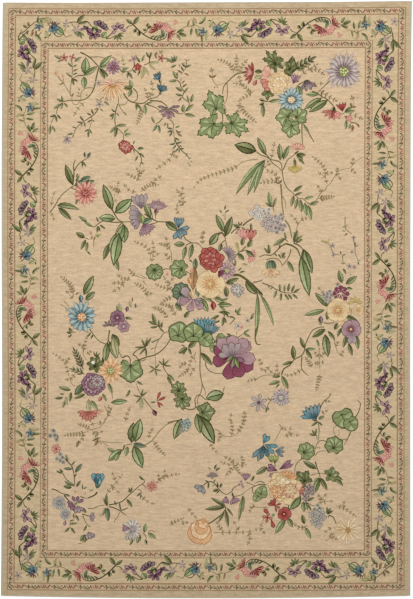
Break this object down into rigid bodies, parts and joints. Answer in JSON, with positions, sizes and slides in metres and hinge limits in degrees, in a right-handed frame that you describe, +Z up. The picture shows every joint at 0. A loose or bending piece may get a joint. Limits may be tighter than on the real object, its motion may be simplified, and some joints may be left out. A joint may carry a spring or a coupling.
{
  "type": "flatweave rug",
  "caption": "Flat rectangular wool flatweave rug with botanical flowers on a tan ground, a floral vine border between two narrow guard stripes, and overcast edges.",
  "frame": {"origin": "on the floor under the middle of the rug's bounding box", "axes": "+X across the rug to its right side, +Y along the rug to its head end, +Z up out of the patterned face"},
  "size_m": [1.6834, 2.445, 0.005],
  "materials": {
    "woven_cloth": "flat-woven dyed wool, matt, floral pattern on tan",
    "edging_yarn": "overcast wool yarn, matt, grey beige"
  },
  "bodies": {
    "root": {"rug_cloth": "woven_cloth", "edging_left": "edging_yarn", "edging_right": "edging_yarn", "edging_head": "edging_yarn", "edging_foot": "edging_yarn"}
  },
  "joints": []
}
